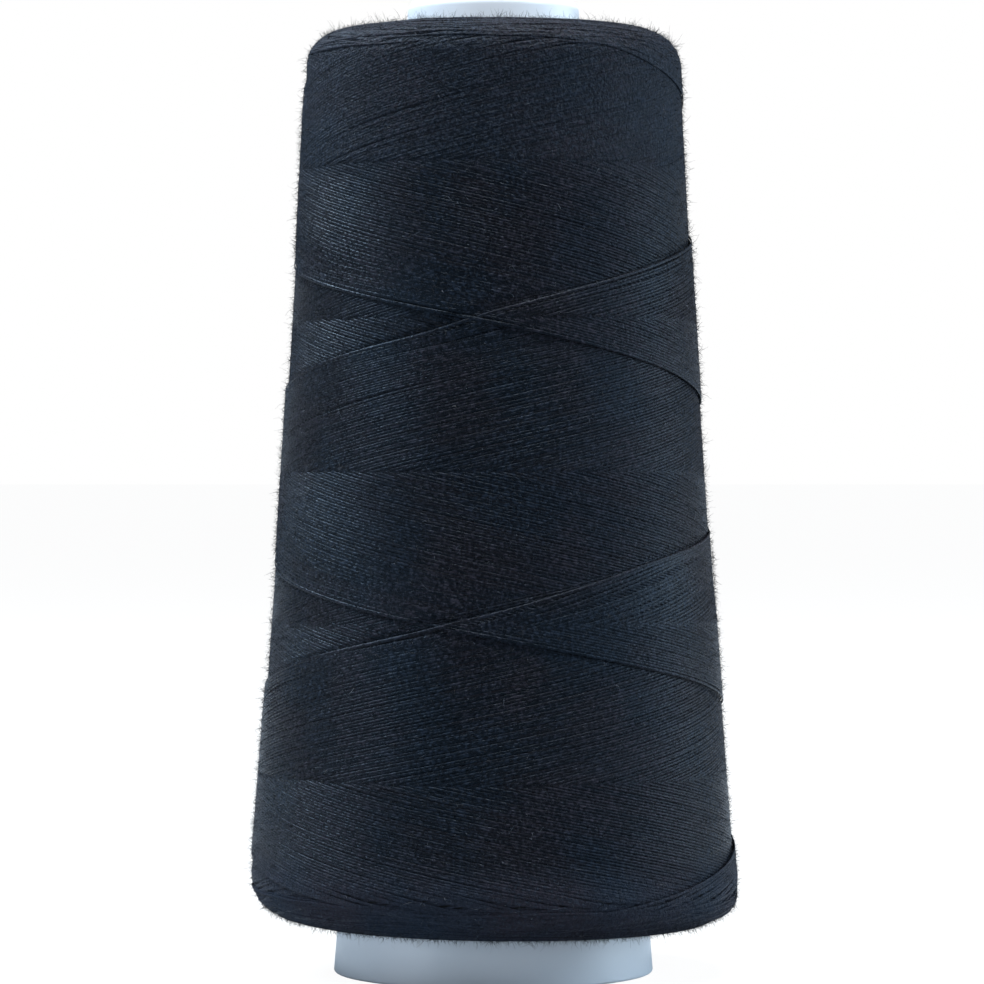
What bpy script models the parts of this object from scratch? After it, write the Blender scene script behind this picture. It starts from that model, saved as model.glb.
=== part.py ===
# A full cone of sewing thread: a hollow tapered plastic core with the thread cross-wound on it.
# Metres, +Z up towards the core's nose, origin at the middle of the core's base.
import math

import bmesh
import bpy

# Core
CORE_HEIGHT = 0.1400
CORE_BASE_RADIUS = 0.0230
CORE_TAPER = math.radians(4.42)
CORE_WALL = 0.0016
CORE_FOOT_ROUNDING = 0.0004
NOSE_ROUNDING = 0.0020
NOSE_MOUTH_RADIUS = 0.0088
CORE_SIDES = 64

# Winding: its two end faces, the widest and narrowest radius of its side, and the corners between
WINDING_FOOT = 0.0077
WINDING_TOP = 0.1351
WINDING_FOOT_RADIUS = 0.0350
WINDING_TOP_RADIUS = 0.0270
WINDING_WAIST = 0.00045
FOOT_SHOULDER = 0.0067
TOP_SHOULDER = 0.0057
FACE_DISH = 0.0006
BORE_GAP = 0.0003
WINDING_SIDES = 60
SIDE_ROWS = 56

# Wound layers: the thread climbs and falls in crossing helices, and the last one laid of each stands proud.
# A front is the edge of the newest layer. Its height is where it crosses the front of the cone, at -Y.
HELIX_PITCH = 0.0421
RISING_FRONT_HEIGHT = 0.0928
FALLING_FRONT_HEIGHT = 0.0919
RISING_STEP = 0.00042
FALLING_STEP = 0.00028
STEP_WIDTH = 0.0022
FRONT_ANGLE = math.radians(270)

# The foot of the winding has settled a little lower towards +X.
FOOT_LEAN = 0.0005
FOOT_LEAN_REACH = 0.0250

ARC_STEPS = 6
SMOOTH_ANGLE = math.radians(35)


def clear_scene():
    for old in list(bpy.data.objects):
        bpy.data.objects.remove(old, do_unlink=True)


def make_material(name, colour, roughness):
    material = bpy.data.materials.new(name)
    material.use_nodes = True
    shader = material.node_tree.nodes["Principled BSDF"]
    shader.inputs["Base Color"].default_value = (*colour, 1.0)
    shader.inputs["Roughness"].default_value = roughness
    shader.inputs["Metallic"].default_value = 0.0
    return material


def arc(centre_r, centre_z, radius, start, end, steps=ARC_STEPS):
    """Points of an arc in the plane of an outline, from one angle to another in degrees."""
    points = []
    for step in range(steps + 1):
        angle = math.radians(start + (end - start) * step / steps)
        points.append((centre_r + radius * math.cos(angle), centre_z + radius * math.sin(angle)))
    return points


def turned_solid(name, outline, sides, material):
    """A closed solid of revolution about Z from a closed outline of (radius, height) points."""
    bm = bmesh.new()
    verts = [bm.verts.new((radius, 0.0, height)) for radius, height in outline]
    edges = [bm.edges.new(pair) for pair in zip(verts, verts[1:] + verts[:1])]
    bmesh.ops.spin(bm, geom=verts + edges, cent=(0, 0, 0), axis=(0, 0, 1),
                   angle=math.tau, steps=sides, use_merge=True)
    bmesh.ops.recalc_face_normals(bm, faces=bm.faces)
    mesh = bpy.data.meshes.new(name)
    bm.to_mesh(mesh)
    bm.free()
    mesh.shade_smooth()
    mesh.set_sharp_from_angle(angle=SMOOTH_ANGLE)
    mesh.materials.append(material)
    solid = bpy.data.objects.new(name, mesh)
    bpy.context.scene.collection.objects.link(solid)
    return solid


def core_radius(height):
    """Outer radius of the core's straight taper."""
    return CORE_BASE_RADIUS - height * math.tan(CORE_TAPER)


def make_core(material):
    # The outline runs down the outside, across the base rim, up the inside and out over the nose.
    nose_centre = core_radius(CORE_HEIGHT - NOSE_ROUNDING) - NOSE_ROUNDING
    outline = arc(nose_centre, CORE_HEIGHT - NOSE_ROUNDING, NOSE_ROUNDING, 90, 0)
    outline += arc(core_radius(CORE_FOOT_ROUNDING) - CORE_FOOT_ROUNDING, CORE_FOOT_ROUNDING,
                   CORE_FOOT_ROUNDING, 0, -90, steps=2)
    ceiling = CORE_HEIGHT - CORE_WALL
    outline.append((CORE_BASE_RADIUS - CORE_WALL, 0.0))
    outline.append((core_radius(ceiling) - CORE_WALL, ceiling))
    outline += arc(NOSE_MOUTH_RADIUS + CORE_WALL / 2, CORE_HEIGHT - CORE_WALL / 2, CORE_WALL / 2, 270, 90, steps=4)
    return turned_solid("core", outline, CORE_SIDES, material)


def side_radius(height):
    """Radius of the winding's side: a straight taper, drawn in at the waist."""
    low = WINDING_FOOT + FOOT_SHOULDER
    high = WINDING_TOP - TOP_SHOULDER
    share = (height - low) / (high - low)
    taper = WINDING_FOOT_RADIUS + (WINDING_TOP_RADIUS - WINDING_FOOT_RADIUS) * share
    return taper - WINDING_WAIST * 4 * share * (1 - share)


def winding_outline():
    low = WINDING_FOOT + FOOT_SHOULDER
    high = WINDING_TOP - TOP_SHOULDER
    outline = arc(WINDING_TOP_RADIUS - TOP_SHOULDER, high, TOP_SHOULDER, 90, 0)
    for row in range(1, SIDE_ROWS):
        height = high + (low - high) * row / SIDE_ROWS
        outline.append((side_radius(height), height))
    outline += arc(WINDING_FOOT_RADIUS - FOOT_SHOULDER, low, FOOT_SHOULDER, 0, -90)
    for end in (WINDING_FOOT, WINDING_TOP):
        inner = end - FACE_DISH
        outline.append((core_radius(inner) + BORE_GAP, inner))
    return outline


def layer_height(turns_behind):
    """A layer's share of its step, by the turns since its front: up at the front, then slowly down."""
    climb = min((turns_behind % 1) * HELIX_PITCH / STEP_WIDTH, 1.0)
    return climb * (1 - turns_behind % 1) - 0.5


def layer_relief(angle, height):
    """How far the newest layers stand above the mean surface at a point of the winding's side."""
    turns_round = (angle - FRONT_ANGLE) / math.tau
    behind_rising = turns_round - (height - RISING_FRONT_HEIGHT) / HELIX_PITCH
    behind_falling = turns_round + (height - FALLING_FRONT_HEIGHT) / HELIX_PITCH
    return RISING_STEP * layer_height(behind_rising) + FALLING_STEP * layer_height(behind_falling)


def smooth_share(value):
    share = min(max(value, 0.0), 1.0)
    return share * share * (3 - 2 * share)


def make_winding(material):
    winding = turned_solid("winding", winding_outline(), WINDING_SIDES, material)
    for vertex in winding.data.vertices:
        x, y, height = vertex.co
        radius = math.hypot(x, y)
        depth = side_radius(height) - radius
        # 1 on the side and its shoulders, 0 on the bore
        outside = smooth_share(1 - depth / FOOT_SHOULDER)
        # 0 at the two end faces, so that they stay flat
        inward = min(height - WINDING_FOOT, WINDING_TOP - height)
        relief = layer_relief(math.atan2(y, x), height) * outside * smooth_share(inward / FOOT_SHOULDER)
        vertex.co.x += relief * x / radius
        vertex.co.y += relief * y / radius
        settled = smooth_share(1 - (height - WINDING_FOOT) / FOOT_LEAN_REACH)
        vertex.co.z -= FOOT_LEAN * settled * x / WINDING_FOOT_RADIUS
    return winding


clear_scene()
core_plastic = make_material("core_plastic", (0.52, 0.56, 0.61), 0.38)
black_thread = make_material("black_thread", (0.012, 0.014, 0.019), 0.85)
make_core(core_plastic)
make_winding(black_thread)
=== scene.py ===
# A full cone of black spun sewing thread on its pale plastic core, stood on a white studio floor.
import math

import bpy
import numpy as np
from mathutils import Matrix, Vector


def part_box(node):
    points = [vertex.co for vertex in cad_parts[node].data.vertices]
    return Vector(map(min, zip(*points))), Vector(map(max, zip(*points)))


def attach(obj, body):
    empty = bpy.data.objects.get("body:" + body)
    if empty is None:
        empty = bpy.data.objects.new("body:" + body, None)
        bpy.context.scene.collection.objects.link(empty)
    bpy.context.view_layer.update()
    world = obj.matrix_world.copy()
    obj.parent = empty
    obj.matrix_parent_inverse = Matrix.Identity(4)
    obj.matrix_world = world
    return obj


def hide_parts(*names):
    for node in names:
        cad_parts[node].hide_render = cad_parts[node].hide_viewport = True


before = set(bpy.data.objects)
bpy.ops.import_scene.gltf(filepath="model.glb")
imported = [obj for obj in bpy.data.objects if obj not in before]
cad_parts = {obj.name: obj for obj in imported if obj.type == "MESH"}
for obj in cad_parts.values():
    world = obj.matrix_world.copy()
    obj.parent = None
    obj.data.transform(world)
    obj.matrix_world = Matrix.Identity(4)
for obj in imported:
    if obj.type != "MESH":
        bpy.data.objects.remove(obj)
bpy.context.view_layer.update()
mm = 0.001
fullTurn = 2 * math.pi
dice = np.random.default_rng(41)

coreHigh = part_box("core")[1]
print("frame loaded, cone", round(coreHigh.z / mm, 1), "mm high")

# The wound form: a straight taper with a drawn-in waist, rounded shoulders, and a foot settled to one side.
form = {
    "foot": 7.4 * mm,
    "top": 135.1 * mm,
    "footRadius": 35.0 * mm,
    "topRadius": 27.0 * mm,
    "waist": 0.45 * mm,
    "footShoulder": 6.7 * mm,
    "topShoulder": 5.2 * mm,
    "faceDish": 0.6 * mm,
    "boreGap": 0.3 * mm,
    "footLean": 0.5 * mm,
    "leanReach": 25 * mm,
    "cornerBulge": 1.0 * mm,
    "bulgeHeight": 9.9 * mm,
    "bulgeReach": 2.0 * mm,
}

coreForm = {
    "height": coreHigh.z,
    "baseRadius": 23.0 * mm,
    "taper": math.radians(4.42),
    "wall": 1.6 * mm,
    "footRounding": 0.4 * mm,
    "noseRounding": 2.0 * mm,
    "mouthRadius": 8.8 * mm,
    "sides": 128,
}

# How the thread was laid. The threads of each helix lie side by side, the newest at its front.
laying = {
    "threads": 105,
    "turnsPerStroke": 3,
    "turnRound": math.radians(60),
    "intoShoulders": 3.05 * mm,
    "frontAngle": math.radians(264),
    "risingStep": 0.42 * mm,
    "fallingStep": 0.28 * mm,
    "threadWidth": 0.405 * mm,
    "threadHeight": 0.25 * mm,
    "ridge": 0.84,
    "feltedRidge": 0.26,
    "feltedAbove": 111 * mm,
    "feltedBelow": 17 * mm,
    "feltedReach": 6 * mm,
    "sink": 0.66,
    "diveSpread": 0.16,
    "frontHollow": 0.12 * mm,
    "slideSink": 0.030 * mm,
    "gapDepth": 0.30 * mm,
    "bodyDepth": 0.62 * mm,
    "endDip": 0.25 * mm,
    "endDipReach": 0.08,
    "newestTouch": 0.15,
    "middleRadius": 31 * mm,
    "footFade": 7 * mm,
    "topFade": 13 * mm,
    "samplesPerTurn": 45,
    "samplesAtFront": (-2.4, -0.7, 0.2, 1.0, 2.0),
    "spacingJitter": 0.045,
    "wander": 0.085,
    "widthJitter": 0.05,
    "footReach": (-0.3 * mm, 3.6 * mm),
    "topReach": (-0.6 * mm, 2.0 * mm),
}


def smooth(value):
    share = np.clip(value, 0.0, 1.0)
    return share * share * (3 - 2 * share)


def unit(vectors):
    return vectors / np.maximum(np.linalg.norm(vectors, axis=-1, keepdims=True), 1e-9)


def coreRadius(height):
    return coreForm["baseRadius"] - height * math.tan(coreForm["taper"])


def arcPoints(centreR, centreZ, radius, start, end, steps):
    angles = np.radians(np.linspace(start, end, steps + 1))
    return [(centreR + radius * math.cos(a), centreZ + radius * math.sin(a)) for a in angles]


def buildProfile():
    # From the bore at the foot, out over the foot face, up the side and in over the top face.
    low = form["foot"] + form["footShoulder"]
    high = form["top"] - form["topShoulder"]
    innerFoot = form["foot"] - form["faceDish"]
    innerTop = form["top"] - form["faceDish"]
    points = [(coreRadius(innerFoot) + form["boreGap"], innerFoot)]
    points += arcPoints(form["footRadius"] - form["footShoulder"], low, form["footShoulder"], -90, 0, 14)
    sideStart = len(points) - 1
    for share in np.linspace(0, 1, 90)[1:-1]:
        taper = form["footRadius"] + (form["topRadius"] - form["footRadius"]) * share
        points.append((taper - form["waist"] * 4 * share * (1 - share), low + (high - low) * share))
    sideEnd = len(points)
    points += arcPoints(form["topRadius"] - form["topShoulder"], high, form["topShoulder"], 0, 90, 14)
    points.append((coreRadius(innerTop) + form["boreGap"], innerTop))
    points = np.array(points)
    steps = np.hypot(*np.diff(points, axis=0).T)
    along = np.concatenate([[0], np.cumsum(steps)])
    along -= along[sideStart]
    tangent = np.gradient(points, along, axis=0)
    return {"along": along, "points": points, "tangent": tangent, "sideLength": along[sideEnd]}


profile = buildProfile()
sideLength = profile["sideLength"]
threadAngle = fullTurn / laying["threads"]
strokeAngle = fullTurn * laying["turnsPerStroke"]
turnRound = laying["turnRound"]
strokeLow, strokeHigh = -laying["intoShoulders"], sideLength + laying["intoShoulders"]
climb = (strokeHigh - strokeLow) / (strokeAngle - turnRound)
print("one turn climbs", round(climb * fullTurn / mm, 1), "mm")


def onWinding(angle, along, lift):
    # A point of the winding by its angle and its length up the profile, and the outward normal there.
    r, z = [np.interp(along, profile["along"], column) for column in profile["points"].T]
    tangentR, tangentZ = [np.interp(along, profile["along"], column) for column in profile["tangent"].T]
    size = np.hypot(tangentR, tangentZ)
    normalR, normalZ = tangentZ / size, -tangentR / size
    r = r + normalR * lift
    z = z + normalZ * lift
    cosine, sine = np.cos(angle), np.sin(angle)
    # The foot bulges at its corner where it has settled.
    bulge = form["cornerBulge"] * np.exp(-((z - form["bulgeHeight"]) / form["bulgeReach"]) ** 2)
    r = r + bulge * np.maximum(cosine, 0.3) ** 2
    settled = smooth(1 - (z - form["foot"]) / form["leanReach"])
    z = z - form["footLean"] * settled * r * cosine / form["footRadius"]
    points = np.stack([r * cosine, r * sine, z], axis=-1)
    normals = np.stack([normalR * cosine, normalR * sine, normalZ + 0 * cosine], axis=-1)
    return points, normals


def climbed(phase):
    # The thread climbs evenly, and eases to a level turn at either end of the stroke.
    upper = phase > strokeAngle / 2
    fromEnd = np.where(upper, strokeAngle - phase, phase)
    eased = np.where(fromEnd < turnRound, fromEnd ** 2 / (2 * turnRound), fromEnd - turnRound / 2)
    return np.where(upper, strokeHigh - climb * eased, strokeLow + climb * eased)


def phaseAt(height):
    phases = np.linspace(0, strokeAngle, 2000)
    points, _ = onWinding(phases * 0 + math.pi / 2, climbed(phases), 0)
    return float(np.interp(height, points[:, 2], phases))


def layerRelief(behindRising, behindFalling, along):
    # The newest layers stand proud. The steps melt away over the two shoulders.
    rising = laying["risingStep"] * (0.5 - behindRising / fullTurn)
    falling = laying["fallingStep"] * (0.5 - behindFalling / fullTurn)
    fromFoot = (along - strokeLow + 3 * mm) / laying["footFade"]
    fromTop = (strokeHigh + 3 * mm - along) / laying["topFade"]
    return (rising + falling) * smooth(fromFoot) * smooth(fromTop)


def waver(position, size, shortest, longest):
    # A slow random drift, because no thread lies quite true.
    total = np.zeros_like(position)
    for _ in range(4):
        wave = dice.uniform(shortest, longest)
        total += np.sin(fullTurn * position / wave + dice.uniform(0, fullTurn))
    return size * total / 2


def newStore():
    return {"points": [], "faces": [], "bake": [], "across": [], "along": [], "tone": [], "count": 0}


def addGrid(store, points, box, across, along, tone, closed=False):
    # A sheet of quads from rows and columns of points. The box is its place on the bake map.
    rows, columns = points.shape[:2]
    spans = columns if closed else columns - 1
    row, column = np.meshgrid(np.arange(rows - 1), np.arange(spans), indexing="ij")
    corners = [(row, column), (row, column + 1), (row + 1, column + 1), (row + 1, column)]
    indices = [store["count"] + r * columns + c % columns for r, c in corners]
    u = np.stack([box[0] + (box[2] - box[0]) * r / (rows - 1) for r, c in corners], axis=-1)
    v = np.stack([box[1] + (box[3] - box[1]) * c / spans for r, c in corners], axis=-1)
    store["points"].append(points.reshape(-1, 3))
    store["faces"].append(np.stack(indices, axis=-1).reshape(-1, 4))
    store["bake"].append(np.stack([u, v], axis=-1).reshape(-1, 2))
    for key, value in (("across", across), ("along", along), ("tone", tone)):
        store[key].append(np.broadcast_to(value, (rows, columns)).ravel())
    store["count"] += rows * columns


def bakeCell(area, fill, column, columns, row, rows):
    # One cell of a grid in an area of the bake map, filled to this share of its width.
    wide, tall = (area[2] - area[0]) / columns, (area[3] - area[1]) / rows
    left, bottom = area[0] + column * wide, area[1] + row * tall
    return left, bottom, left + fill * wide, bottom + 0.8 * tall


# The visible half of one thread, as shares of its width and height.
threadOutline = np.array([(-0.5, -0.50), (-0.29, 0.0), (0.29, 0.0), (0.5, -0.50)])


def addThread(store, centres, normals, width, height, tone, box, start):
    tangents = unit(np.gradient(centres, axis=0))
    sides = unit(np.cross(tangents, normals))
    across = sides[:, None, :] * (threadOutline[:, 0] * np.reshape(width, (-1, 1)))[:, :, None]
    upward = normals[:, None, :] * (threadOutline[:, 1] * np.reshape(height, (-1, 1)))[:, :, None]
    steps = np.linalg.norm(np.diff(centres, axis=0), axis=1)
    along = start + np.concatenate([[0], np.cumsum(steps)])
    addGrid(store, centres[:, None, :] + across + upward, box, threadOutline[:, 0] * 2, along[:, None], tone)


def putInScene(thing):
    bpy.context.scene.collection.objects.link(thing)


def makePiece(name, material, fill, *given, slotName="black_thread", replaced="winding"):
    # A piece is one mesh of all that its fill function puts into the store.
    store = newStore()
    fill(store, *given)
    points = np.concatenate(store["points"])
    faces = np.concatenate(store["faces"])
    mesh = bpy.data.meshes.new(name)
    mesh.vertices.add(len(points))
    mesh.vertices.foreach_set("co", points.astype(np.float32).ravel())
    mesh.loops.add(faces.size)
    mesh.loops.foreach_set("vertex_index", faces.astype(np.int32).ravel())
    mesh.polygons.add(len(faces))
    mesh.polygons.foreach_set("loop_start", np.arange(0, faces.size, 4, dtype=np.int32))
    mesh.polygons.foreach_set("use_smooth", np.ones(len(faces), dtype=bool))
    mesh.update(calc_edges=True)
    for key in ("across", "along", "tone"):
        layer = mesh.attributes.new(key, "FLOAT", "POINT")
        layer.data.foreach_set("value", np.concatenate(store[key]).astype(np.float32))
    bakeMap = mesh.uv_layers.new(name="OFBake")
    bakeMap.data.foreach_set("uv", np.concatenate(store["bake"]).astype(np.float32).ravel())
    mesh.materials.append(material)
    piece = bpy.data.objects.new(name, mesh)
    putInScene(piece)
    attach(piece, "root")
    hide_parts(replaced)
    print(name, "made,", 2 * len(faces), "triangles")


# Helpers for shader nodes, and the groups that more than one material uses.
def addNode(tree, kind, **settings):
    node = tree.nodes.new(kind)
    for key, value in settings.items():
        setattr(node, key, value)
    return node


def feed(tree, socket, value):
    if isinstance(value, (int, float, tuple)):
        socket.default_value = value
    else:
        tree.links.new(value, socket)


def setInputs(node, values):
    for label, value in values.items():
        node.inputs[label].default_value = value


def calculate(tree, operation, first, second=0.0, third=0.0):
    node = addNode(tree, "ShaderNodeMath", operation=operation)
    for socket, value in zip(node.inputs, (first, second, third)):
        feed(tree, socket, value)
    return node.outputs[0]


def blend(tree, share, first, second, mode="MIX"):
    node = addNode(tree, "ShaderNodeMix", data_type="RGBA", blend_type=mode)
    feed(tree, node.inputs[0], share)
    feed(tree, node.inputs[6], first)
    feed(tree, node.inputs[7], second)
    return node.outputs[2]


def remap(tree, value, low, high, newLow, newHigh):
    node = addNode(tree, "ShaderNodeMapRange", interpolation_type="SMOOTHSTEP")
    for socket, amount in zip(node.inputs, (value, low, high, newLow, newHigh)):
        feed(tree, socket, amount)
    return node.outputs[0]


def noise(tree, vector, scale, detail, roughness):
    node = addNode(tree, "ShaderNodeTexNoise")
    feed(tree, node.inputs["Vector"], vector)
    setInputs(node, {"Scale": scale, "Detail": detail, "Roughness": roughness})
    return node.outputs["Fac"]


def shrink(tree, vector, size):
    # The same place counted in steps of the given size.
    node = addNode(tree, "ShaderNodeVectorMath", operation="SCALE")
    feed(tree, node.inputs[0], vector)
    feed(tree, node.inputs["Scale"], calculate(tree, "DIVIDE", 1.0, size))
    return node.outputs[0]


def heightOf(tree, vector):
    split = addNode(tree, "ShaderNodeSeparateXYZ")
    tree.links.new(vector, split.inputs[0])
    return split.outputs[2]


def raiseBump(tree, shader, height, strength):
    bump = addNode(tree, "ShaderNodeBump")
    setInputs(bump, {"Strength": strength, "Distance": 0.05 * mm})
    tree.links.new(height, bump.inputs["Height"])
    tree.links.new(bump.outputs[0], shader.inputs["Normal"])


def newGroup(name, inputs, outputs):
    # Inputs come with their usual value: a number, a colour, or none for a place.
    group = bpy.data.node_groups.new(name, "ShaderNodeTree")
    for label, value in inputs.items():
        kind = {float: "NodeSocketFloat", tuple: "NodeSocketColor"}.get(type(value), "NodeSocketVector")
        socket = group.interface.new_socket(name=label, in_out="INPUT", socket_type=kind)
        if value is not None:
            socket.default_value = value
    for label in outputs:
        kind = "NodeSocketColor" if label == "Color" else "NodeSocketFloat"
        group.interface.new_socket(name=label, in_out="OUTPUT", socket_type=kind)
    return group, addNode(group, "NodeGroupInput").outputs, addNode(group, "NodeGroupOutput").inputs


def useGroup(tree, group, **values):
    node = addNode(tree, "ShaderNodeGroup", node_tree=group)
    for label, value in values.items():
        feed(tree, node.inputs[label], value)
    return node


def buildPlyTwist():
    # The two plies of the thread, seen as slanting hollows that run round it.
    inputs = {"Along": 0.0, "Across": 0.0, "Lay": 1.1 * mm, "Slant": 0.28}
    group, given, result = newGroup("plyTwist", inputs, ["Ridge"])
    turns = calculate(group, "DIVIDE", given["Along"], given["Lay"])
    slanted = calculate(group, "MULTIPLY_ADD", given["Across"], given["Slant"], turns)
    wave = calculate(group, "SINE", calculate(group, "MULTIPLY", slanted, fullTurn))
    feed(group, result["Ridge"], calculate(group, "MULTIPLY_ADD", wave, 0.5, 0.5))
    return group


def buildFibreNoise():
    # Fine fibres that lie along the thread, drawn out lengthwise.
    inputs = {"Along": 0.0, "Across": 0.0, "Tone": 0.0, "Length": 0.5 * mm, "Fineness": 3.0}
    group, given, result = newGroup("fibreNoise", inputs, ["Fibres"])
    place = addNode(group, "ShaderNodeCombineXYZ")
    feed(group, place.inputs[0], calculate(group, "DIVIDE", given["Along"], given["Length"]))
    feed(group, place.inputs[1], calculate(group, "MULTIPLY", given["Across"], given["Fineness"]))
    feed(group, place.inputs[2], calculate(group, "MULTIPLY", given["Tone"], 97.0))
    feed(group, result["Fibres"], noise(group, place.outputs[0], 1.0, 3.0, 0.6))
    return group


def buildFelting():
    # How felted the winding is by its height: most near both ends, where it has been handled.
    inputs = {"Vector": None, "Top": 116.5 * mm, "Foot": 14.5 * mm, "Reach": 4.5 * mm}
    group, given, result = newGroup("felting", inputs, ["Felt", "Low"])
    height = heightOf(group, given["Vector"])
    above = calculate(group, "DIVIDE", calculate(group, "SUBTRACT", height, given["Top"]), given["Reach"])
    below = calculate(group, "DIVIDE", calculate(group, "SUBTRACT", given["Foot"], height), given["Reach"])
    nearest = calculate(group, "MAXIMUM", above, below)
    feed(group, result["Felt"], remap(group, nearest, -1.0, 0.0, 0.0, 1.0))
    feed(group, result["Low"], remap(group, below, -1.0, 0.6, 0.0, 1.0))
    return group


def buildToneDrift():
    # Black that leans to navy or to brown in wide soft patches, and from one thread to the next.
    inputs = {
        "Vector": None, "Tone": 0.5, "Size": 14.0 * mm,
        "Cool": (0.0026, 0.0034, 0.0048, 1), "Warm": (0.0040, 0.0033, 0.0038, 1),
    }
    group, given, result = newGroup("toneDrift", inputs, ["Color", "Patch"])
    patch = noise(group, shrink(group, given["Vector"], given["Size"]), 1.0, 2.0, 0.5)
    share = calculate(group, "MULTIPLY_ADD", given["Tone"], 0.24, patch)
    share = remap(group, share, 0.46, 0.78, 0.0, 1.0)
    feed(group, result["Color"], blend(group, share, given["Cool"], given["Warm"]))
    feed(group, result["Patch"], patch)
    return group


def buildDustSpecks():
    # Sparse pale flecks: cut fibre ends, lint and dust.
    inputs = {"Vector": None, "Spacing": 1.6 * mm, "Share": 0.06, "Size": 0.12}
    group, given, result = newGroup("dustSpecks", inputs, ["Mask"])
    cells = addNode(group, "ShaderNodeTexVoronoi", feature="F1")
    feed(group, cells.inputs["Vector"], shrink(group, given["Vector"], given["Spacing"]))
    setInputs(cells, {"Scale": 1.0})
    chosen = calculate(group, "LESS_THAN", cells.outputs["Color"], given["Share"])
    near = calculate(group, "LESS_THAN", cells.outputs["Distance"], given["Size"])
    feed(group, result["Mask"], calculate(group, "MULTIPLY", chosen, near))
    return group


plyTwist = buildPlyTwist()
fibreNoise = buildFibreNoise()
felting = buildFelting()
toneDrift = buildToneDrift()
dustSpecks = buildDustSpecks()


def newMaterial(name):
    material = bpy.data.materials.new(name)
    material.use_nodes = True
    tree = material.node_tree
    tree.nodes.clear()
    output = addNode(tree, "ShaderNodeOutputMaterial")
    shader = addNode(tree, "ShaderNodeBsdfPrincipled")
    tree.links.new(shader.outputs[0], output.inputs[0])
    return material, tree, shader


def attribute(tree, name):
    return addNode(tree, "ShaderNodeAttribute", attribute_name=name).outputs["Fac"]


def objectPlace(tree):
    return addNode(tree, "ShaderNodeTexCoord").outputs["Object"]


threadLook = {
    "lay": 1.1 * mm,
    "roughness": 0.26,
    "edgeRoughness": 0.46,
    "flankRoughness": 0.05,
    "refraction": 1.20,
    "specular": 0.50,
    "specularTint": (0.46, 0.70, 1.0, 1),
    "sheen": 0.014,
    "sheenRoughness": 0.5,
    "sheenTint": (0.25, 0.50, 1.0, 1),
    # The colour left in the hollows of the ply twist, as painted shade.
    "hollowShade": 0.80,
    "fibreShade": 0.5,
    "hazeSize": 0.50 * mm,
    "hazeCool": (0.0105, 0.0150, 0.0240, 1),
    "hazeWarm": (0.0180, 0.0155, 0.0210, 1),
    "twistBump": 0.35,
    "fibreBump": 0.6,
    "hazeBump": 2.6,
    "feltBump": 6.0,
    "feltSize": 0.42 * mm,
    "feltHaze": 0.75,
    "feltColour": (0.0170, 0.0210, 0.0300, 1),
    "footHaze": 0.60,
    "feltRoughness": 0.24,
    "bump": 0.9,
    "speckColour": (0.10, 0.11, 0.125, 1),
}


def threadColour(tree, place, tone, twist, fibres, haze, ends):
    drift = useGroup(tree, toneDrift, Vector=place, Tone=tone)
    # Painted shade darkens the hollows of the ply twist. The fibres and each thread vary in their own tone.
    hollow = remap(tree, twist, 0.0, 0.7, threadLook["hollowShade"], 1.0)
    fibreTone = remap(tree, fibres, 0.3, 0.7, 1 - threadLook["fibreShade"], 1 + threadLook["fibreShade"])
    strandTone = calculate(tree, "MULTIPLY_ADD", tone, 0.5, 0.75)
    shade = calculate(tree, "MULTIPLY", calculate(tree, "MULTIPLY", hollow, fibreTone), strandTone)
    grey = addNode(tree, "ShaderNodeCombineColor")
    for socket in grey.inputs:
        feed(tree, socket, shade)
    colour = blend(tree, 1.0, drift.outputs["Color"], grey.outputs[0], "MULTIPLY")
    # Short fuzz lies over the threads as a blotchy haze.
    warmth = remap(tree, drift.outputs["Patch"], 0.36, 0.64, 0.0, 1.0)
    hazeColour = blend(tree, warmth, threadLook["hazeCool"], threadLook["hazeWarm"])
    hazeShare = remap(tree, haze, 0.47, 0.68, 0.0, 1.0)
    hazeShare = calculate(tree, "MULTIPLY_ADD", ends.outputs["Low"], threadLook["footHaze"], hazeShare)
    colour = blend(tree, hazeShare, colour, hazeColour)
    # Where it is felted, the fuzz clots into paler flecks.
    clots = noise(tree, place, 1 / threadLook["feltSize"], 2.0, 0.65)
    flecks = remap(tree, clots, 0.50, 0.64, 0.0, threadLook["feltHaze"])
    flecks = calculate(tree, "MULTIPLY", ends.outputs["Felt"], flecks)
    colour = blend(tree, flecks, colour, threadLook["feltColour"])
    specks = useGroup(tree, dustSpecks, Vector=place).outputs["Mask"]
    return blend(tree, specks, colour, threadLook["speckColour"])


def threadDullness(tree, roughness, across, fibres, haze, felt):
    # The flanks of each thread are the fuzziest.
    uneven = calculate(tree, "MULTIPLY_ADD", haze, 0.6, calculate(tree, "MULTIPLY", fibres, 0.4))
    dull = remap(tree, uneven, 0.40, 0.62, roughness - 0.05, roughness + 0.16)
    flank = remap(tree, calculate(tree, "ABSOLUTE", across), 0.50, 0.95, 0.0, threadLook["flankRoughness"])
    dull = calculate(tree, "ADD", dull, flank)
    return calculate(tree, "MULTIPLY_ADD", felt, threadLook["feltRoughness"], dull)


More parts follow.
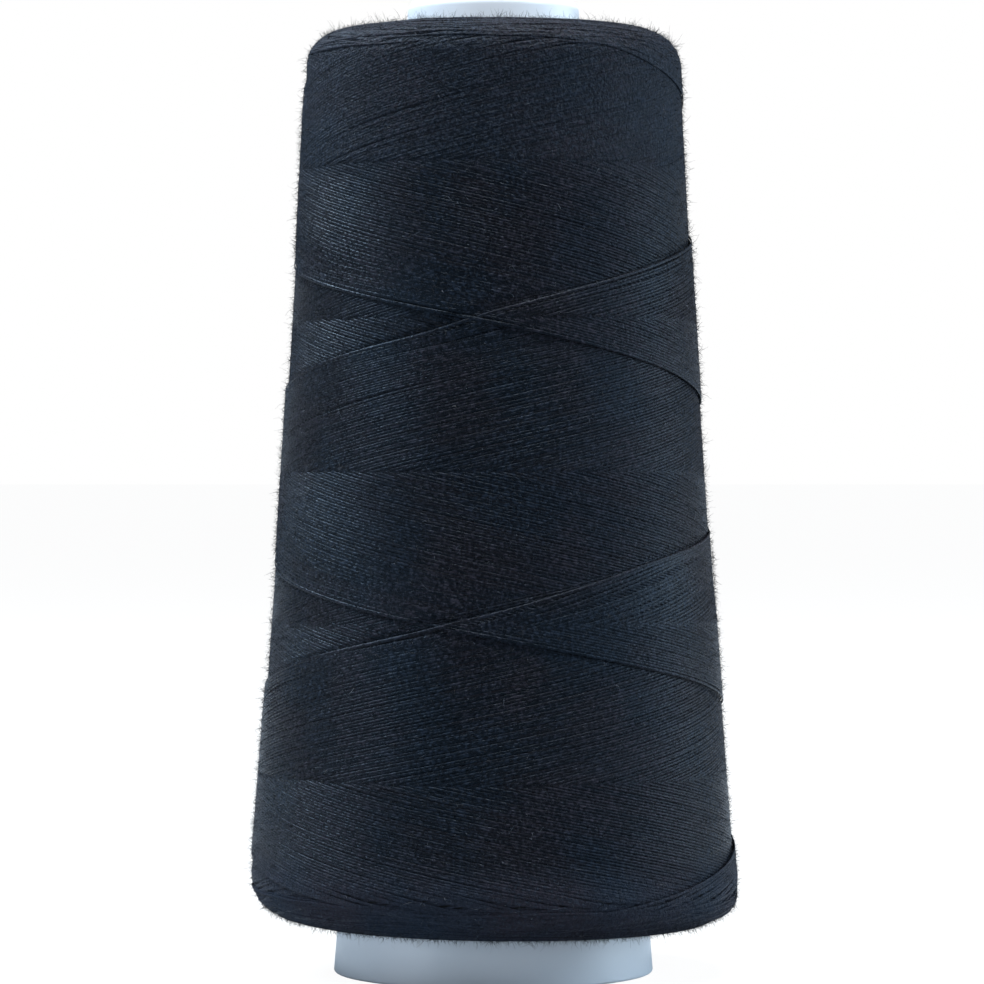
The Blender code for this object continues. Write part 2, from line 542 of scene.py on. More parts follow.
def threadMaterial(name, roughness):
    material, tree, shader = newMaterial(name)
    along, across, tone = [attribute(tree, key) for key in ("along", "across", "tone")]
    place = objectPlace(tree)
    twist = useGroup(tree, plyTwist, Along=along, Across=across, Lay=threadLook["lay"]).outputs["Ridge"]
    fibres = useGroup(tree, fibreNoise, Along=along, Across=across, Tone=tone).outputs["Fibres"]
    haze = noise(tree, place, 1 / threadLook["hazeSize"], 3.0, 0.6)
    ends = useGroup(tree, felting, Vector=place)
    felt = ends.outputs["Felt"]
    colour = threadColour(tree, place, tone, twist, fibres, haze, ends)
    tree.links.new(colour, shader.inputs["Base Color"])
    dull = threadDullness(tree, roughness, across, fibres, haze, felt)
    tree.links.new(dull, shader.inputs["Roughness"])
    setInputs(shader, {
        "IOR": threadLook["refraction"],
        "Specular IOR Level": threadLook["specular"],
        "Specular Tint": threadLook["specularTint"],
        "Sheen Weight": threadLook["sheen"],
        "Sheen Roughness": threadLook["sheenRoughness"],
        "Sheen Tint": threadLook["sheenTint"],
    })
    height = calculate(tree, "MULTIPLY", twist, threadLook["twistBump"])
    roughening = calculate(tree, "MULTIPLY_ADD", felt, threadLook["feltBump"], threadLook["hazeBump"])
    height = calculate(tree, "MULTIPLY_ADD", haze, roughening, height)
    height = calculate(tree, "MULTIPLY_ADD", fibres, threadLook["fibreBump"], height)
    raiseBump(tree, shader, height, threadLook["bump"])
    return material


blackThread = threadMaterial("blackThread", threadLook["roughness"])
edgeThread = threadMaterial("edgeThread", threadLook["edgeRoughness"])

underThreadLook = {"colour": (0.006, 0.007, 0.009, 1), "roughness": 0.85, "rowSpacing": 0.4 * mm}


def underMaterial():
    material, tree, shader = newMaterial("underThread")
    place = objectPlace(tree)
    # Painted shade: the colour falls to black between the rows of thread beneath. The patches vary its tone.
    turned = calculate(tree, "MULTIPLY", heightOf(tree, place), fullTurn / underThreadLook["rowSpacing"])
    rows = calculate(tree, "SINE", turned)
    drift = useGroup(tree, toneDrift, Vector=place).outputs["Patch"]
    shade = calculate(tree, "MULTIPLY_ADD", rows, 0.25, calculate(tree, "ADD", drift, 0.3))
    colour = blend(tree, shade, (0.0, 0.0, 0.0, 1), underThreadLook["colour"])
    tree.links.new(colour, shader.inputs["Base Color"])
    shader.inputs["Roughness"].default_value = underThreadLook["roughness"]
    return material


underThread = underMaterial()

fuzzLook = {
    "dark": (0.004, 0.0048, 0.0065, 1),
    # The pale colour of a few fuzz hairs is a painted glint for the light they catch.
    "pale": (0.085, 0.098, 0.12, 1),
    "paleShare": 15.0,
    "roughness": 0.6,
    "specular": 0.08,
    "sheen": 0.02,
    "lintDark": (0.04, 0.045, 0.05, 1),
    "lintPale": (0.24, 0.25, 0.26, 1),
}


def fuzzMaterial(name, dark, pale):
    material, tree, shader = newMaterial(name)
    tone = attribute(tree, "tone")
    patch = useGroup(tree, toneDrift, Vector=objectPlace(tree), Tone=tone).outputs["Patch"]
    # A few fibres take the pale colour. On the fuzz hairs it is a painted glint for the light they catch; on
    # the lint it is the lint's own colour.
    share = calculate(tree, "POWER", tone, fuzzLook["paleShare"])
    share = calculate(tree, "MULTIPLY", share, calculate(tree, "ADD", patch, 0.5))
    tree.links.new(blend(tree, share, dark, pale), shader.inputs["Base Color"])
    setInputs(shader, {
        "Roughness": fuzzLook["roughness"],
        "Specular IOR Level": fuzzLook["specular"],
        "Sheen Weight": fuzzLook["sheen"],
    })
    return material


fuzzFibre = fuzzMaterial("fuzzFibre", fuzzLook["dark"], fuzzLook["pale"])
lintFibre = fuzzMaterial("lintFibre", fuzzLook["lintDark"], fuzzLook["lintPale"])

coreLook = {
    "colour": (0.60, 0.635, 0.685, 1),
    "shade": (0.56, 0.60, 0.65, 1),
    "dust": (0.12, 0.12, 0.13, 1),
    "roughness": 0.36,
    "mottle": 22 * mm,
    "bump": 0.08,
}


def coreMaterial():
    material, tree, shader = newMaterial("corePlastic")
    place = objectPlace(tree)
    drift = useGroup(tree, toneDrift, Vector=place, Size=coreLook["mottle"]).outputs["Patch"]
    dust = useGroup(tree, dustSpecks, Vector=place, Spacing=4.0 * mm, Share=0.02, Size=0.05)
    grain = noise(tree, place, 900.0, 3.0, 0.6)
    colour = blend(tree, remap(tree, drift, 0.35, 0.65, 0.0, 1.0), coreLook["shade"], coreLook["colour"])
    colour = blend(tree, dust.outputs["Mask"], colour, coreLook["dust"])
    tree.links.new(colour, shader.inputs["Base Color"])
    dull = remap(tree, grain, 0.3, 0.7, coreLook["roughness"] - 0.05, coreLook["roughness"] + 0.08)
    tree.links.new(dull, shader.inputs["Roughness"])
    raiseBump(tree, shader, grain, coreLook["bump"])
    return material


corePlastic = coreMaterial()
print("materials made")

# Places where two neighbouring threads lie apart and leave a groove: helix, angle, height, reach, gap.
# A rising helix is 1 and a falling one -1. The gap counts in threads.
grooves = [
    (1, 316, 57.2, 20, 0.8),
    (1, 222, 84.2, 15, 0.6),
    (1, 228, 81.4, 14, 0.55),
    (1, 212, 79.4, 12, 0.5),
    (1, 322, 99.2, 13, 0.7),
    (1, 205, 41.4, 12, 0.6),
    (1, 243, 122.3, 15, 0.9),
    (1, 234, 117.8, 12, 0.6),
    (1, 252, 114.0, 15, 0.6),
    (-1, 245, 27.0, 17, 0.6),
    (-1, 295, 61.2, 12, 0.6),
    (-1, 215, 97.0, 12, 0.5),
    (-1, 330, 85.5, 14, 0.5),
]
strayGrooves = 32

# Grooves behind the two fronts: helix, threads ahead of it, turns up the stroke, reach, gap, and how far the
# threads ahead of it stand proud. Heights and reaches are in millimetres here and above.
frontGaps = [
    (1, 1, 1.00, 16, 1.2, 0.08),
    (1, 5, 1.17, 26, 0.5, 0.04),
    (1, 1, 2.20, 18, 0.6, 0.08),
    (1, 1, 1.92, 30, 0.5, 0.10),
    (1, 5, 1.93, 12, 0.7, 0.0),
    (1, 9, 1.95, 9, 0.6, 0.0),
    (-1, 1, 2.02, 12, 0.8, 0.08),
    (-1, 1, 2.22, 30, 0.3, 0.10),
    (-1, 1, 1.10, 26, 0.45, 0.08),
    (-1, 1, 0.76, 16, 0.6, 0.05),
]

# Where a front has slid off its true helix: helix, bundle, band, turns up the stroke, and threads slid. The
# newest threads of the bundle slide as one, and those of the band behind them follow less and less.
slides = [
    (1, 1, 40, (0.68, 0.80, 0.90, 0.98, 1.06), (0, -1.7, -2.5, -1.7, 0)),
    (1, 5, 1, (0.97, 1.02, 1.11, 1.20, 1.26, 1.34, 1.44), (0, -0.3, -0.7, -0.9, -0.8, -0.4, 0)),
    (1, 6, 45, (0.97, 1.02, 1.11, 1.20, 1.26, 1.34, 1.44), (0, -1.4, -4.3, -6.7, -5.4, -1.6, 0)),
    (1, 1, 30, (1.75, 1.86, 1.93, 2.00, 2.20, 2.30, 2.45), (0, 1.5, 2.8, 0.6, -1.5, -1.2, 0)),
    (-1, 1, 30, (1.85, 1.97, 2.08, 2.17, 2.30, 2.45), (0, -0.8, -2.6, -4.2, -2.0, 0)),
    (-1, 1, 30, (0.80, 0.95, 1.06, 1.16, 1.30, 1.45), (0, -1.2, -2.6, -3.4, -1.6, 0)),
]


def groovesOf(helix):
    # Each groove of one helix: the thread that it follows, its middle and reach as phases, gap and rise.
    found = []
    for direction, angle, height, reach, gap in grooves:
        if direction == helix:
            found.append((math.radians(angle), phaseAt(height * mm), reach, gap))
    for _ in range(strayGrooves):
        angle, phase = dice.uniform(0, fullTurn), dice.uniform(0.8, strokeAngle - 0.8)
        found.append((angle, phase, dice.uniform(5, 16), dice.uniform(0.15, 0.45)))
    places = []
    for angle, phase, reach, gap in found:
        thread = ((angle - helix * phase - laying["frontAngle"]) % fullTurn) / threadAngle
        places.append((thread, phase, reach * mm / laying["middleRadius"], gap, 0.0))
    for direction, ahead, turns, reach, gap, proud in frontGaps:
        if direction == helix:
            places.append((ahead, turns * fullTurn, reach * mm / laying["middleRadius"], gap, proud * mm))
    return places


def slideOf(helix, index, phase):
    # How far a thread has slid, and how much wider apart the threads lie there.
    moved, spread = np.zeros_like(phase), np.zeros_like(phase)
    fine = np.linspace(0, laying["turnsPerStroke"], 900)
    for direction, bundle, band, turns, threads in slides:
        share = max(index - bundle + 1, 0) / band
        if direction == helix and share < 1:
            bent = np.convolve(np.interp(fine, turns, threads), np.hanning(28) / 13.5, "same")
            slid = np.interp(phase / fullTurn, fine, bent)
            moved += slid * smooth(1 - share)
            spread -= slid * 6 * share * (1 - share) / band
    return moved, spread


def frontCrossings(helix, behind, crossings):
    # Where a thread meets the other family's front, which may have slid off its true helix.
    fronts = np.unique(np.round(crossings / fullTurn)) * fullTurn
    phase = helix * (fronts - behind) / 2
    return fronts + slideOf(-helix, 0, phase)[0] * threadAngle


def trenchDepth(helix, crossed, phase):
    # The layer beneath dips just ahead of the other family's front, and under each gap between its threads.
    natural = crossed / threadAngle
    threads = laying["threads"]
    first = slideOf(-helix, 0, phase)[0]
    nearFront = np.exp(-(((first - natural) % threads) / 1.3) ** 2)
    depth = laying["frontHollow"] * (1 + np.abs(first) / 6) * nearFront
    # It only rises to the newest layer's level some threads behind the front, which covers it there.
    step = laying["fallingStep"] if helix > 0 else laying["risingStep"]
    depth = depth + 0.9 * step * np.exp(-(((natural - first) % threads) / 3.5) ** 2)
    for direction, ahead, turns, reach, gap, _ in frontGaps:
        if direction == -helix:
            place = ahead + slideOf(-helix, ahead, phase)[0]
            away = (natural - place + threads / 2) % threads - threads / 2
            reach = reach * mm / laying["middleRadius"]
            closeness = np.exp(-((phase - turns * fullTurn) / reach) ** 2)
            depth = depth + laying["gapDepth"] * gap * closeness * np.exp(-((away + 0.8) / 1.0) ** 2)
    # It is shallow near the top, where the threads lie felted together.
    return depth * (1 - 0.85 * smooth((phase / fullTurn - 2.52) / 0.14))


def strokeSamples(helix, behind):
    # The phases where the other family's threads are crossed, closer together at its front.
    step = fullTurn / laying["samplesPerTurn"]
    first = math.ceil(behind / step) if helix > 0 else math.ceil((behind - 2 * strokeAngle) / step)
    crossings = np.arange(first, first + 2 * strokeAngle / step + 1) * step
    fronts = frontCrossings(helix, behind, crossings)
    apart = np.abs(crossings[:, None] - fronts[None, :]).min(axis=1)
    near = [fronts + share * threadAngle for share in laying["samplesAtFront"]]
    crossings = np.concatenate([crossings[apart > step / 2]] + near)
    phase = helix * (crossings - behind) / 2
    phase = phase[(phase > 0.01) & (phase < strokeAngle - 0.01)]
    return np.unique(np.concatenate([[0, strokeAngle], phase]))


def strayed(index, phase, places):
    # How many threads' widths a thread lies off its helix, and how far it stands proud beside a groove.
    shift = dice.normal(0, laying["spacingJitter"]) + waver(phase, laying["wander"], 1.2, 9.0)
    proud = np.zeros_like(phase)
    for thread, middle, reach, gap, rise in places:
        apart = index + 0.5 - thread
        closeness = np.exp(-((phase - middle) / reach) ** 2)
        parted = math.copysign(gap / 2, apart) * math.exp(-abs(abs(apart) - 0.5) / 2.5)
        shift = shift + parted * closeness
        if apart < 0:
            proud = np.maximum(proud, rise * closeness)
    return shift, proud


def ridgeOf(index, z, moved):
    # Fuzz fills the hollows between the threads, most of all near both ends.
    fromEnds = np.maximum(z - laying["feltedAbove"], laying["feltedBelow"] - z)
    felted = smooth(fromEnds / laying["feltedReach"])
    ridge = laying["ridge"] + (laying["feltedRidge"] - laying["ridge"]) * felted
    # Threads that slid as one lie flatter together, all but the newest.
    return ridge * (1 - (0.5 if index else 0.1) * smooth(np.abs(moved) / 3))


def layHelix(store, helix):
    # One family of threads. Each is found by its angle where it leaves the foot, and climbs three turns.
    threads = laying["threads"]
    places = groovesOf(helix)
    height = laying["threadHeight"]
    order = dice.permutation(threads)
    for index in range(threads):
        behind = (index + 0.5) * threadAngle
        phase = strokeSamples(helix, behind)
        otherFront = slideOf(-helix, 0, phase)[0]
        crossed = (behind + helix * 2 * phase - otherFront * threadAngle) % fullTurn
        crossed[[0, -1]] = behind
        shift, proud = strayed(index, phase, places)
        moved, spread = slideOf(helix, index, phase)
        angle = laying["frontAngle"] + behind + helix * phase + (shift + moved) * threadAngle
        footShare = 1 - smooth(phase / turnRound)
        topShare = 1 - smooth((strokeAngle - phase) / turnRound)
        along = climbed(phase) - dice.uniform(*laying["footReach"]) * footShare
        along = along + dice.uniform(*laying["topReach"]) * topShare
        # It dives under the newer threads of the other family, whose front lies in a hollow of its own, and
        # dips under the level turns at each end of the stroke.
        under = smooth(0.5 + (behind - crossed) / laying["diveSpread"])
        hollow = trenchDepth(helix, (behind + helix * 2 * phase) % fullTurn, phase)
        dip = np.exp(-phase / laying["endDipReach"]) + np.exp(-(strokeAngle - phase) / laying["endDipReach"])
        settled = hollow + laying["endDip"] * dip + laying["slideSink"] * np.abs(moved)
        settled = settled + laying["sink"] * height * under
        relief = layerRelief(behind, crossed, along) if helix > 0 else layerRelief(crossed, behind, along)
        loose = dice.uniform(-0.02, 0.03) * mm + dice.uniform(-0.14, 0.10) * mm * (footShare + topShare)
        points, normals = onWinding(angle, along, relief + loose + proud - settled)
        uneven = dice.normal(0, laying["widthJitter"]) + waver(phase, 0.05, 0.3, 2.0)
        # The newest threads touch.
        touching = laying["newestTouch"] * math.exp(-(index + 0.5) / 4)
        width = laying["threadWidth"] * (1 + uneven + spread + touching)
        ridge = ridgeOf(index, points[:, 2], moved)
        cell = bakeCell((0.01, 0.02, 0.99, 0.98), 1.0, 0, 1, order[index], threads)
        tone, start = dice.uniform(0, 1), dice.uniform(0, 1)
        addThread(store, points, normals, width, height * ridge, tone, cell, start)


makePiece("risingTurns", blackThread, layHelix, 1)
makePiece("fallingTurns", blackThread, layHelix, -1)

edgeLook = {
    "ringSpacing": 0.36 * mm,
    "ringSamples": 72,
    "arcs": 620,
    "arcSamples": 14,
    "strands": 150,
    "strandSamples": 30,
    "depth": 0.08 * mm,
    "ridge": 0.6,
}


def layEdges(store):
    # Level turns that pack both shoulders and both end faces, then the last turn-rounds across them.
    footRings = np.arange(profile["along"][0] + 0.3 * mm, strokeLow + 1.0 * mm, edgeLook["ringSpacing"])
    topRings = np.arange(strokeHigh - 1.0 * mm, profile["along"][-1] - 0.3 * mm, edgeLook["ringSpacing"])
    rings = np.concatenate([footRings, topRings])
    width, ridge = laying["threadWidth"], laying["threadHeight"] * edgeLook["ridge"]
    for index, ring in enumerate(rings):
        turn = np.linspace(0, 1, edgeLook["ringSamples"] + 1)
        angle = turn * fullTurn + dice.uniform(0, fullTurn)
        drift = waver(turn, 0.09 * mm, 0.2, 0.8) * np.sin(math.pi * turn)
        along = ring + dice.normal(0, 0.05) * mm + drift
        lift = -edgeLook["depth"] * (1 if ring > 0 else 0.4) - dice.uniform(0, 0.08) * mm
        points, normals = onWinding(angle, along, layerRelief(math.pi, math.pi, along) + lift)
        cell = bakeCell((0.01, 0.01, 0.99, 0.31), 1.0, 0, 1, index, len(rings))
        addThread(store, points, normals, width * 1.04, ridge, dice.uniform(0, 1), cell, dice.uniform(0, 1))
    # Loose wavy strands lie level round the top shoulder and the foot's edge.
    for index in range(edgeLook["strands"]):
        atTop = index % 3 > 0
        reach = dice.uniform(0.3, 1.3)
        swing = np.linspace(-reach, reach, edgeLook["strandSamples"])
        offEdge = dice.uniform(-1.6, 4.2) if atTop else dice.uniform(-3.0, 0.8)
        along = (strokeHigh if atTop else strokeLow) + offEdge * mm
        along = along + waver(swing, 0.16 * mm, 0.3, 1.4) + dice.uniform(-0.5, 0.5) * mm * swing
        lift = dice.uniform(-0.08, 0.14) * mm - 0.25 * mm * (np.abs(swing) / reach) ** 3
        points, normals = onWinding(dice.uniform(0, fullTurn) + swing, along, lift)
        cell = bakeCell((0.01, 0.81, 0.99, 0.99), 0.98, index % 2, 2, index // 2, edgeLook["strands"] / 2)
        tone, start = dice.uniform(0.3, 1.3), dice.uniform(0, 1)
        addThread(store, points, normals, width, ridge * 1.6, tone, cell, start)
    perRow = 20
    for index in range(edgeLook["arcs"]):
        atTop = index % 2
        reach = dice.uniform(0.3, 0.75)
        swing = np.linspace(-reach, reach, edgeLook["arcSamples"])
        depth = dice.uniform(-0.4, 13.5 if atTop else 14.0) * mm
        away = climb * swing ** 2 / (2 * turnRound)
        along = strokeHigh + depth - away if atTop else strokeLow - depth + away
        along = np.clip(along, profile["along"][0] + 0.3 * mm, profile["along"][-1] - 0.3 * mm)
        angle = dice.uniform(0, fullTurn) + swing * dice.choice([-1, 1])
        lift = -0.05 * mm + dice.uniform(-0.06, 0.12) * mm - 0.2 * mm * (np.abs(swing) / reach) ** 4
        points, normals = onWinding(angle, along, lift)
        cell = bakeCell((0.01, 0.325, 0.99, 0.805), 0.9, index % perRow, perRow, index // perRow,
                        math.ceil(edgeLook["arcs"] / perRow))
        addThread(store, points, normals, width, ridge, dice.uniform(0, 1), cell, dice.uniform(0, 1))


makePiece("edgeTurns", edgeThread, layEdges)


def fillUnder(store):
    # The body of the winding just below its outer threads, which closes the view between them.
    side = np.linspace(0, sideLength, 60)[1:-1]
    along = np.concatenate([profile["along"][:16], side, profile["along"][-16:]])
    angle = np.linspace(0, fullTurn, 96, endpoint=False)
    grid, turn = np.meshgrid(along, angle, indexing="ij")
    points, _ = onWinding(-turn, grid, -laying["bodyDepth"])
    addGrid(store, points, (0.02, 0.02, 0.98, 0.98), 0.0, grid, 0.5, closed=True)


makePiece("underLayers", underThread, fillUnder)

fuzzForm = {
    "hairs": 25600,
    "length": 0.62 * mm,
    "longest": 1.9 * mm,
    "longestTuft": 3.2 * mm,
    "width": 0.052 * mm,
    "tuftWidth": 0.036 * mm,
    "clumps": 260,
    "hairsPerClump": 22,
    "clumpLengths": {"foot": 0.96 * mm, "top": 1.2 * mm, "side": 0.72 * mm},
    "lint": 360,
    "lintWidth": 0.035 * mm,
}


def addRibbons(store, paths, sides, widths, tones):
    # Many short fibres at once. Each gets its own cell of the bake map.
    count, steps = paths.shape[:2]
    half = sides[:, None, :] * widths[:, :, None] / 2
    points = np.stack([paths - half, paths + half], axis=2)
    index = store["count"] + np.arange(count * steps * 2).reshape(count, steps, 2)
    corners = [index[:, :-1, 0], index[:, :-1, 1], index[:, 1:, 1], index[:, 1:, 0]]
    cells = math.ceil(math.sqrt(count))
    cell = np.arange(count)[:, None]
    left, bottom = (cell % cells) / cells, (cell // cells) / cells
    share = 0.1 + 0.8 * np.arange(steps) / (steps - 1)
    low, high = left + share[None, :-1] / cells, left + share[None, 1:] / cells
    under, over = bottom + 0.15 / cells + 0 * low, bottom + 0.85 / cells + 0 * low
    places = [(low, under), (low, over), (high, over), (high, under)]
    store["points"].append(points.reshape(-1, 3))
    store["faces"].append(np.stack(corners, axis=-1).reshape(-1, 4))
    store["bake"].append(np.stack([np.stack(place, axis=-1) for place in places], axis=2).reshape(-1, 2))
    store["across"].append(np.tile([-1.0, 1.0], count * steps))
    store["along"].append(np.repeat(np.tile(share * mm, count), 2))
    store["tone"].append(np.repeat(tones, steps * 2))
    store["count"] += count * steps * 2


def growFibres(store, angle, along, lean, length, width, steps, curl, lift):
    # Fibres that leave the surface at a lean from its normal, and curl over to one side.
    count = len(angle)
    roots, normals = onWinding(angle, along, lift + 0 * angle)
    random = dice.normal(0, 1, (count, 3))
    flat = unit(random - normals * np.sum(random * normals, axis=1, keepdims=True))
    heading = unit(normals * np.cos(lean)[:, None] + flat * np.sin(lean)[:, None])
    bend = unit(np.cross(heading, unit(dice.normal(0, 1, (count, 3)))))
    share = np.linspace(0, 1, steps)[None, :, None]
    size = length[:, None, None]
    turn = curl[:, None, None] * share
    arcs = heading[:, None, :] * np.sin(turn) + bend[:, None, :] * (1 - np.cos(turn))
    paths = roots[:, None, :] + size * arcs / curl[:, None, None]
    sides = unit(np.cross(heading, dice.normal(0, 1, (count, 3))))
    widths = width * (1 - 0.7 * np.linspace(0, 1, steps) ** 2)[None, :] * np.ones((count, 1))
    addRibbons(store, paths, sides, widths, dice.uniform(0, 1, count))


def surfaceLift(angle, along):
    # The relief of the outer layers at any point, for what grows on them.
    phases = np.linspace(0, strokeAngle, 2000)
    phase = np.interp(along, climbed(phases), phases)
    behindRising = (angle - phase - laying["frontAngle"]) % fullTurn
    behindFalling = (angle + phase - laying["frontAngle"]) % fullTurn
    return layerRelief(behindRising, behindFalling, along)


def growFuzz(store, low, high):
    count = fuzzForm["hairs"]
    angle = dice.uniform(0, fullTurn, count)
    along = dice.uniform(low, high, count)
    length = np.minimum(fuzzForm["length"] * dice.lognormal(0, 0.5, count), fuzzForm["longest"])
    lean = dice.uniform(0.3, 1.35, count)
    growFibres(store, angle, along, lean, length, fuzzForm["width"], 3, dice.uniform(0.3, 2.4, count),
               surfaceLift(angle, along) - 0.08 * mm)


fuzzEnds = np.linspace(profile["along"][0] + 2 * mm, profile["along"][-1] - 2 * mm, 5)
fuzzNames = ("footFuzz", "lowerFuzz", "upperFuzz", "topFuzz")
for pieceName, low, high in zip(fuzzNames, fuzzEnds[:-1], fuzzEnds[1:]):
    makePiece(pieceName, fuzzFibre, growFuzz, low, high)


def growTufts(store):
    # Longer hairs in loose clumps, most of them along the two edges where the thread turns round.
    for index in range(fuzzForm["clumps"]):
        count = fuzzForm["hairsPerClump"]
        middles = {
            "foot": strokeLow - dice.uniform(1, 9) * mm,
            "top": strokeHigh + dice.uniform(-1, 6) * mm,
            "side": dice.uniform(0, sideLength),
        }
        where = ("foot", "top", "foot", "side")[index % 4]
        angle = dice.uniform(0, fullTurn) + dice.normal(0, 0.05, count)
        along = middles[where] + dice.normal(0, 0.5, count) * mm
        length = fuzzForm["clumpLengths"][where] * dice.lognormal(0, 0.35, count)
        rooted = surfaceLift(angle, along) - 0.1 * mm
        length = np.minimum(length, fuzzForm["longestTuft"])
        growFibres(store, angle, along, dice.uniform(0.1, 1.1, count), length,
                   fuzzForm["tuftWidth"], 6, dice.uniform(0.4, 2.6, count), rooted)


makePiece("edgeTufts", fuzzFibre, growTufts)


def scatterLint(store):
    count = fuzzForm["lint"]
    angle = dice.uniform(0, fullTurn, count)
    along = dice.uniform(-4 * mm, sideLength + 3 * mm, count)
    length = dice.uniform(0.25, 1.3, count) * mm
    growFibres(store, angle, along, dice.uniform(1.1, 1.5, count), length, fuzzForm["lintWidth"], 7,
               dice.uniform(0.6, 4.2, count), surfaceLift(angle, along) + 0.03 * mm)


makePiece("lintFlecks", lintFibre, scatterLint)


def turnCore(store):
    nose = coreForm["height"] - coreForm["noseRounding"]
    noseCentre = coreRadius(nose) - coreForm["noseRounding"]
    outline = arcPoints(noseCentre, nose, coreForm["noseRounding"], 90, 0, 12)
    low = coreForm["footRounding"]
    outline += [(coreRadius(height), height) for height in np.linspace(nose, low, 24)[1:-1]]
    outline += arcPoints(coreRadius(low) - low, low, low, 0, -90, 6)
    ceiling = coreForm["height"] - coreForm["wall"]
    inside = np.linspace(0, ceiling, 24)
    outline += [(coreRadius(height) - coreForm["wall"], height) for height in inside]
    lip = coreForm["wall"] / 2
    outline += arcPoints(coreForm["mouthRadius"] + lip, coreForm["height"] - lip, lip, 270, 90, 8)
    outline.append(outline[0])
    outline = np.array(outline)
    turn = np.linspace(0, fullTurn, coreForm["sides"], endpoint=False)
    points = np.stack([outline[:, :1] * np.cos(turn), outline[:, :1] * np.sin(turn),
                       outline[:, 1:] + 0 * turn], axis=-1)
    addGrid(store, points, (0.02, 0.02, 0.98, 0.98), 0.0, 0.0, 0.5, closed=True)


makePiece("coreShell", corePlastic, turnCore, slotName="core_plastic", replaced="core")

# The photograph's view: a long lens, level with the middle of the cone.
view = {
    "distance": 606 * mm,
    "height": 71.2 * mm,
    "aimX": -0.20 * mm,
    "aimHeight": 69.04 * mm,
    "fieldOfView": math.radians(13.36),
}

cameraData = bpy.data.cameras.new("studioCamera")
cameraData.sensor_fit = "HORIZONTAL"
cameraData.angle = view["fieldOfView"]
camera = bpy.data.objects.new("studioCamera", cameraData)
camera.location = (0, -view["distance"], view["height"])
aim = Vector((view["aimX"], 0, view["aimHeight"])) - camera.location
camera.rotation_euler = aim.to_track_quat("-Z", "Y").to_euler()
putInScene(camera)
bpy.context.scene.camera = camera

# Two softboxes light the flanks, the left one from above and the right one from low down. Two weaker ones
# stand in front of them, a third hangs above, and a card lights the foot from the left.
# Columns: name, azimuth, elevation, distance, width, height, power, colour.
lights = [
    ("leftSoftbox", -109, 47, 1.1, 0.85, 0.30, 24.0, (0.68, 0.85, 1.0)),
    ("rightSoftbox", 97, 8, 1.1, 0.8, 0.4, 8.4, (0.67, 0.85, 1.0)),
    ("leftFront", -56, 3, 1.1, 0.5, 0.4, 3.2, (0.78, 0.89, 1.0)),
    ("rightFront", 63, 36, 1.1, 0.6, 0.4, 6.0, (0.75, 0.88, 1.0)),
    ("footCard", -85, -8, 0.34, 0.3, 0.05, 0.055, (0.78, 0.89, 1.0)),
    ("topSoftbox", 0, 88, 1.05, 0.6, 0.6, 34.0, (1.0, 0.98, 0.95)),
]
litMiddle = Vector((0, 0, 0.07))

for name, azimuth, elevation, distance, width, tall, power, colour in lights:
    data = bpy.data.lights.new(name, "AREA")
    data.shape = "RECTANGLE"
    data.size = width
    data.size_y = tall
    data.energy = power
    data.color = colour
    lamp = bpy.data.objects.new(name, data)
    azimuth, elevation = math.radians(azimuth), math.radians(elevation)
    level = math.cos(elevation)
    outward = Vector((math.sin(azimuth) * level, -math.cos(azimuth) * level, math.sin(elevation)))
    lamp.location = litMiddle + outward * distance
    lamp.rotation_euler = (-outward).to_track_quat("-Z", "Y").to_euler()
    lamp.visible_camera = False
    putInScene(lamp)

studio = {
    "fill": 0.36,
    "dimFill": 0.09,
    "dimSide": (-0.8, 0.6, 0.0),
    "fillColour": (0.80, 0.89, 1.0, 1),
    "floorSize": 80.0,
    "floorColour": (0.26, 0.285, 0.31, 1),
    "glow": 1.2,
    "glowShare": 0.8,
}


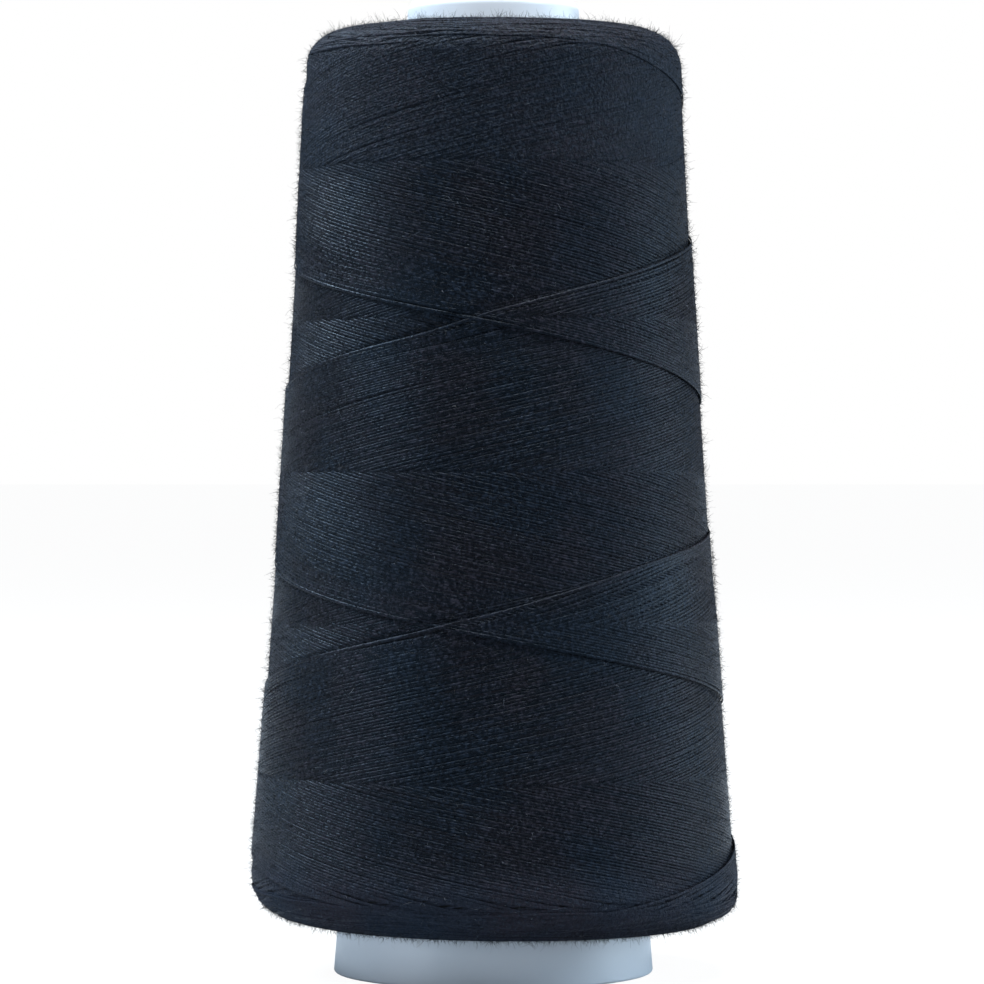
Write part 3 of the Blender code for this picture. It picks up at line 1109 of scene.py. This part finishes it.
def mixForCamera(tree, share, unseen, seen):
    # What the camera sees takes this share of the second shader, and all other rays meet the first.
    mix = addNode(tree, "ShaderNodeMixShader")
    cameraRay = addNode(tree, "ShaderNodeLightPath").outputs["Is Camera Ray"]
    tree.links.new(calculate(tree, "MULTIPLY", cameraRay, share), mix.inputs[0])
    tree.links.new(unseen.outputs[0], mix.inputs[1])
    tree.links.new(seen.outputs[0], mix.inputs[2])
    return mix.outputs[0]


def whiteWorld():
    # White to the camera. As light it is only a dim grey, dimmest behind the cone on the left.
    world = bpy.data.worlds.new("studioAir")
    world.use_nodes = True
    tree = world.node_tree
    tree.nodes.clear()
    seen, fill = addNode(tree, "ShaderNodeBackground"), addNode(tree, "ShaderNodeBackground")
    setInputs(seen, {"Color": (1, 1, 1, 1)})
    setInputs(fill, {"Color": studio["fillColour"]})
    facing = addNode(tree, "ShaderNodeVectorMath", operation="DOT_PRODUCT")
    tree.links.new(addNode(tree, "ShaderNodeTexCoord").outputs["Generated"], facing.inputs[0])
    facing.inputs[1].default_value = studio["dimSide"]
    strength = remap(tree, facing.outputs["Value"], -0.2, 0.8, studio["fill"], studio["dimFill"])
    tree.links.new(strength, fill.inputs["Strength"])
    tree.links.new(mixForCamera(tree, 1.0, fill, seen), addNode(tree, "ShaderNodeOutputWorld").inputs[0])
    bpy.context.scene.world = world


def whiteFloor():
    # Pale paper that glows white to the camera, so that it has no edge against the air.
    half = studio["floorSize"] / 2
    mesh = bpy.data.meshes.new("studioFloor")
    corners = [(-half, -half, 0), (half, -half, 0), (half, half, 0), (-half, half, 0)]
    mesh.from_pydata(corners, [], [(0, 1, 2, 3)])
    material, tree, shader = newMaterial("studioPaper")
    grain = noise(tree, objectPlace(tree), 300.0, 3.0, 0.6)
    shader.inputs["Base Color"].default_value = studio["floorColour"]
    tree.links.new(remap(tree, grain, 0.3, 0.7, 0.55, 0.7), shader.inputs["Roughness"])
    glow = addNode(tree, "ShaderNodeEmission")
    setInputs(glow, {"Strength": studio["glow"]})
    seen = mixForCamera(tree, studio["glowShare"], shader, glow)
    tree.links.new(seen, tree.nodes["Material Output"].inputs[0])
    mesh.materials.append(material)
    floor = bpy.data.objects.new("studioFloor", mesh)
    putInScene(floor)


whiteWorld()
whiteFloor()
bpy.context.scene.view_settings.view_transform = "Standard"
print("camera, lights and floor set")
